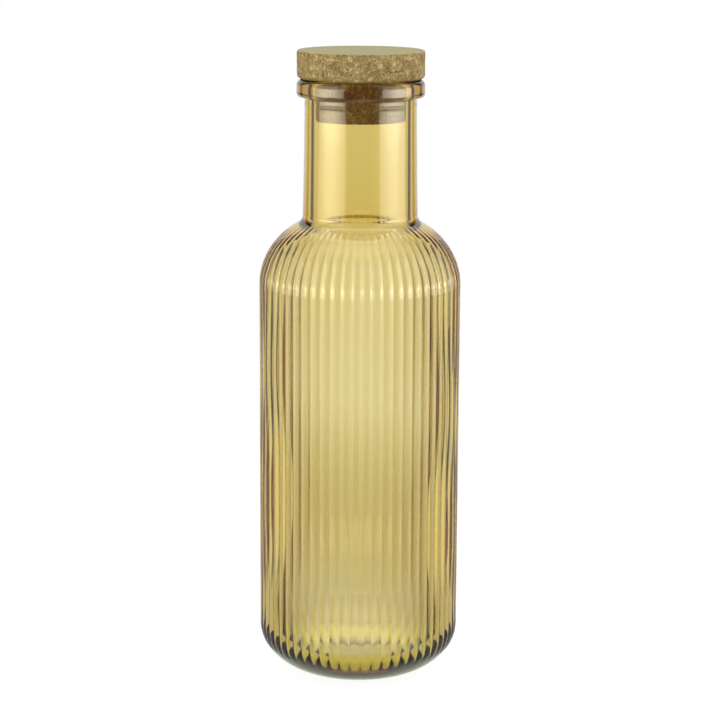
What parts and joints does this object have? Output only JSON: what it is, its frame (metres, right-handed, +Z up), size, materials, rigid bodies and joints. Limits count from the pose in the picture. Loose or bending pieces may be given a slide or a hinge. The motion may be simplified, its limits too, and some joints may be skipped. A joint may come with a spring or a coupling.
{
  "type": "glass carafe bottle",
  "caption": "Vertically ribbed amber glass carafe bottle with a smooth neck, a rounded lip ring and a lift-out cork stopper, for serving or storing drinks.",
  "frame": {"origin": "centre of the flat ring that the bottle stands on, at the bottle's lowest point", "axes": "+Z up along the bottle's axis, from the base to the stopper; +X to the right and +Y to the back; the bottle is round, so X and Y are only told apart by the ribs' places"},
  "size_m": [0.0898, 0.0898, 0.2822],
  "materials": {
    "amber_glass": "clear moulded soda-lime glass, tinted amber in the mass, polished by the mould",
    "cork_disc": "sanded agglomerated cork, matt, with 1 to 3 mm granules",
    "cork_stem": "sanded agglomerated cork, matt, with 1 to 3 mm granules"
  },
  "bodies": {
    "bottle": {"glass_bottle": "amber_glass"},
    "stopper": {"cork_cap": "cork_disc", "cork_plug": "cork_stem"}
  },
  "joints": [
    {"name": "stopper_lift", "type": "slide", "parent": "bottle", "child": "stopper", "axis": [0, 0, 1], "range_m": [0, 0.04]}
  ]
}
